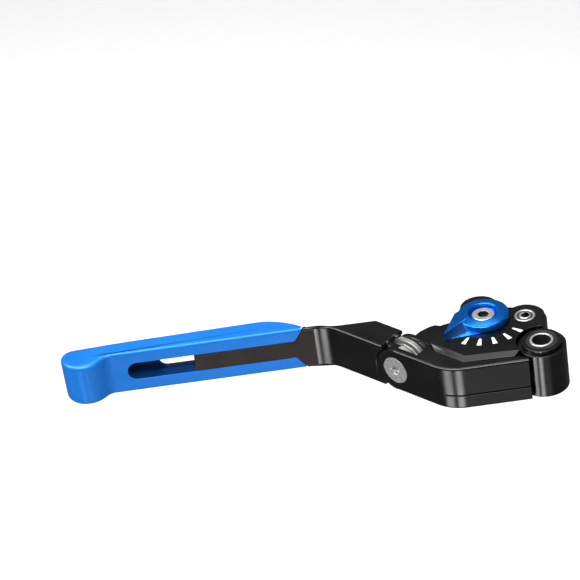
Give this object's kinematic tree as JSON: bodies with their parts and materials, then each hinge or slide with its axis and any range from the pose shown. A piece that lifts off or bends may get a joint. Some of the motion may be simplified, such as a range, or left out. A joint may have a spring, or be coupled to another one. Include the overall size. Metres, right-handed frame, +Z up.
{
  "type": "motorcycle clutch lever",
  "caption": "Folding, extendable clutch lever with a slotted sliding finger part, a reach dial on a raised scale, a fold hinge and a sleeved pivot bore.",
  "frame": {"origin": "centre of the pivot bore at mid height of the lever", "axes": "+Z up along the pivot bore, -X along the finger part towards the tip, +Y from the front of the lever towards the handlebar grip"},
  "size_m": [0.1687, 0.0493, 0.0205],
  "materials": {
    "black_anodised": "satin black anodised",
    "blue_anodised": "satin blue anodised",
    "steel": "stainless, turned and tumbled",
    "bronze": "turned bronze",
    "seal_rubber": "moulded, matte",
    "nylon": "natural nylon"
  },
  "bodies": {
    "pivot": {"pivot_sleeve": "steel"},
    "adapter": {"adapter": "black_anodised", "pivot_seals": "seal_rubber", "pivot_bush": "bronze", "hinge_bush": "bronze", "cam_pin": "steel"},
    "barrel": {"push_rod_barrel": "bronze"},
    "lever": {"lever_body": "black_anodised", "hinge_screw": "steel", "reach_spring": "steel", "detent_ball": "steel", "detent_spring": "steel", "fold_screw": "steel", "fold_spring": "steel"},
    "selector": {"reach_dial": "blue_anodised", "dial_screw": "steel", "dial_washer": "nylon", "cam_shaft": "steel"},
    "arm": {"folding_arm": "black_anodised", "fold_bush": "bronze", "clamp_plate": "black_anodised", "clamp_screw": "steel"},
    "extension": {"extension": "blue_anodised"}
  },
  "joints": [
    {"name": "lever_pull", "type": "hinge", "parent": "pivot", "child": "adapter", "pos_m": [0, 0, 0], "axis": [0, 0, -1], "range_deg": [0, 20]},
    {"name": "barrel_swivel", "type": "hinge", "parent": "adapter", "child": "barrel", "pos_m": [-0.0175, 0.0344, 0], "axis": [0, 0, 1], "range_deg": [-20, 20]},
    {"name": "reach_adjust", "type": "hinge", "parent": "adapter", "child": "lever", "pos_m": [-0.0036, 0.0155, 0], "axis": [0, 0, -1], "range_deg": [0, 5], "deforming": ["reach_spring"]},
    {"name": "dial_turn", "type": "hinge", "parent": "lever", "child": "selector", "pos_m": [-0.0172, 0.017, 0], "axis": [0, 0, 1], "range_deg": [0, 100]},
    {"name": "arm_fold", "type": "hinge", "parent": "lever", "child": "arm", "pos_m": [-0.0487, 0.0074, 0], "axis": [0.6947, 0.7193, 0], "range_deg": [0, 45], "stiffness_Nm_per_rad": 0.3, "springref_deg": -57.3, "deforming": ["fold_spring"]},
    {"name": "extension_slide", "type": "slide", "parent": "arm", "child": "extension", "axis": [-1, 0, 0], "range_m": [0, 0.02]}
  ],
  "couplings": [
    {"joint": "dial_turn", "follows": "reach_adjust", "ratio": 20}
  ]
}
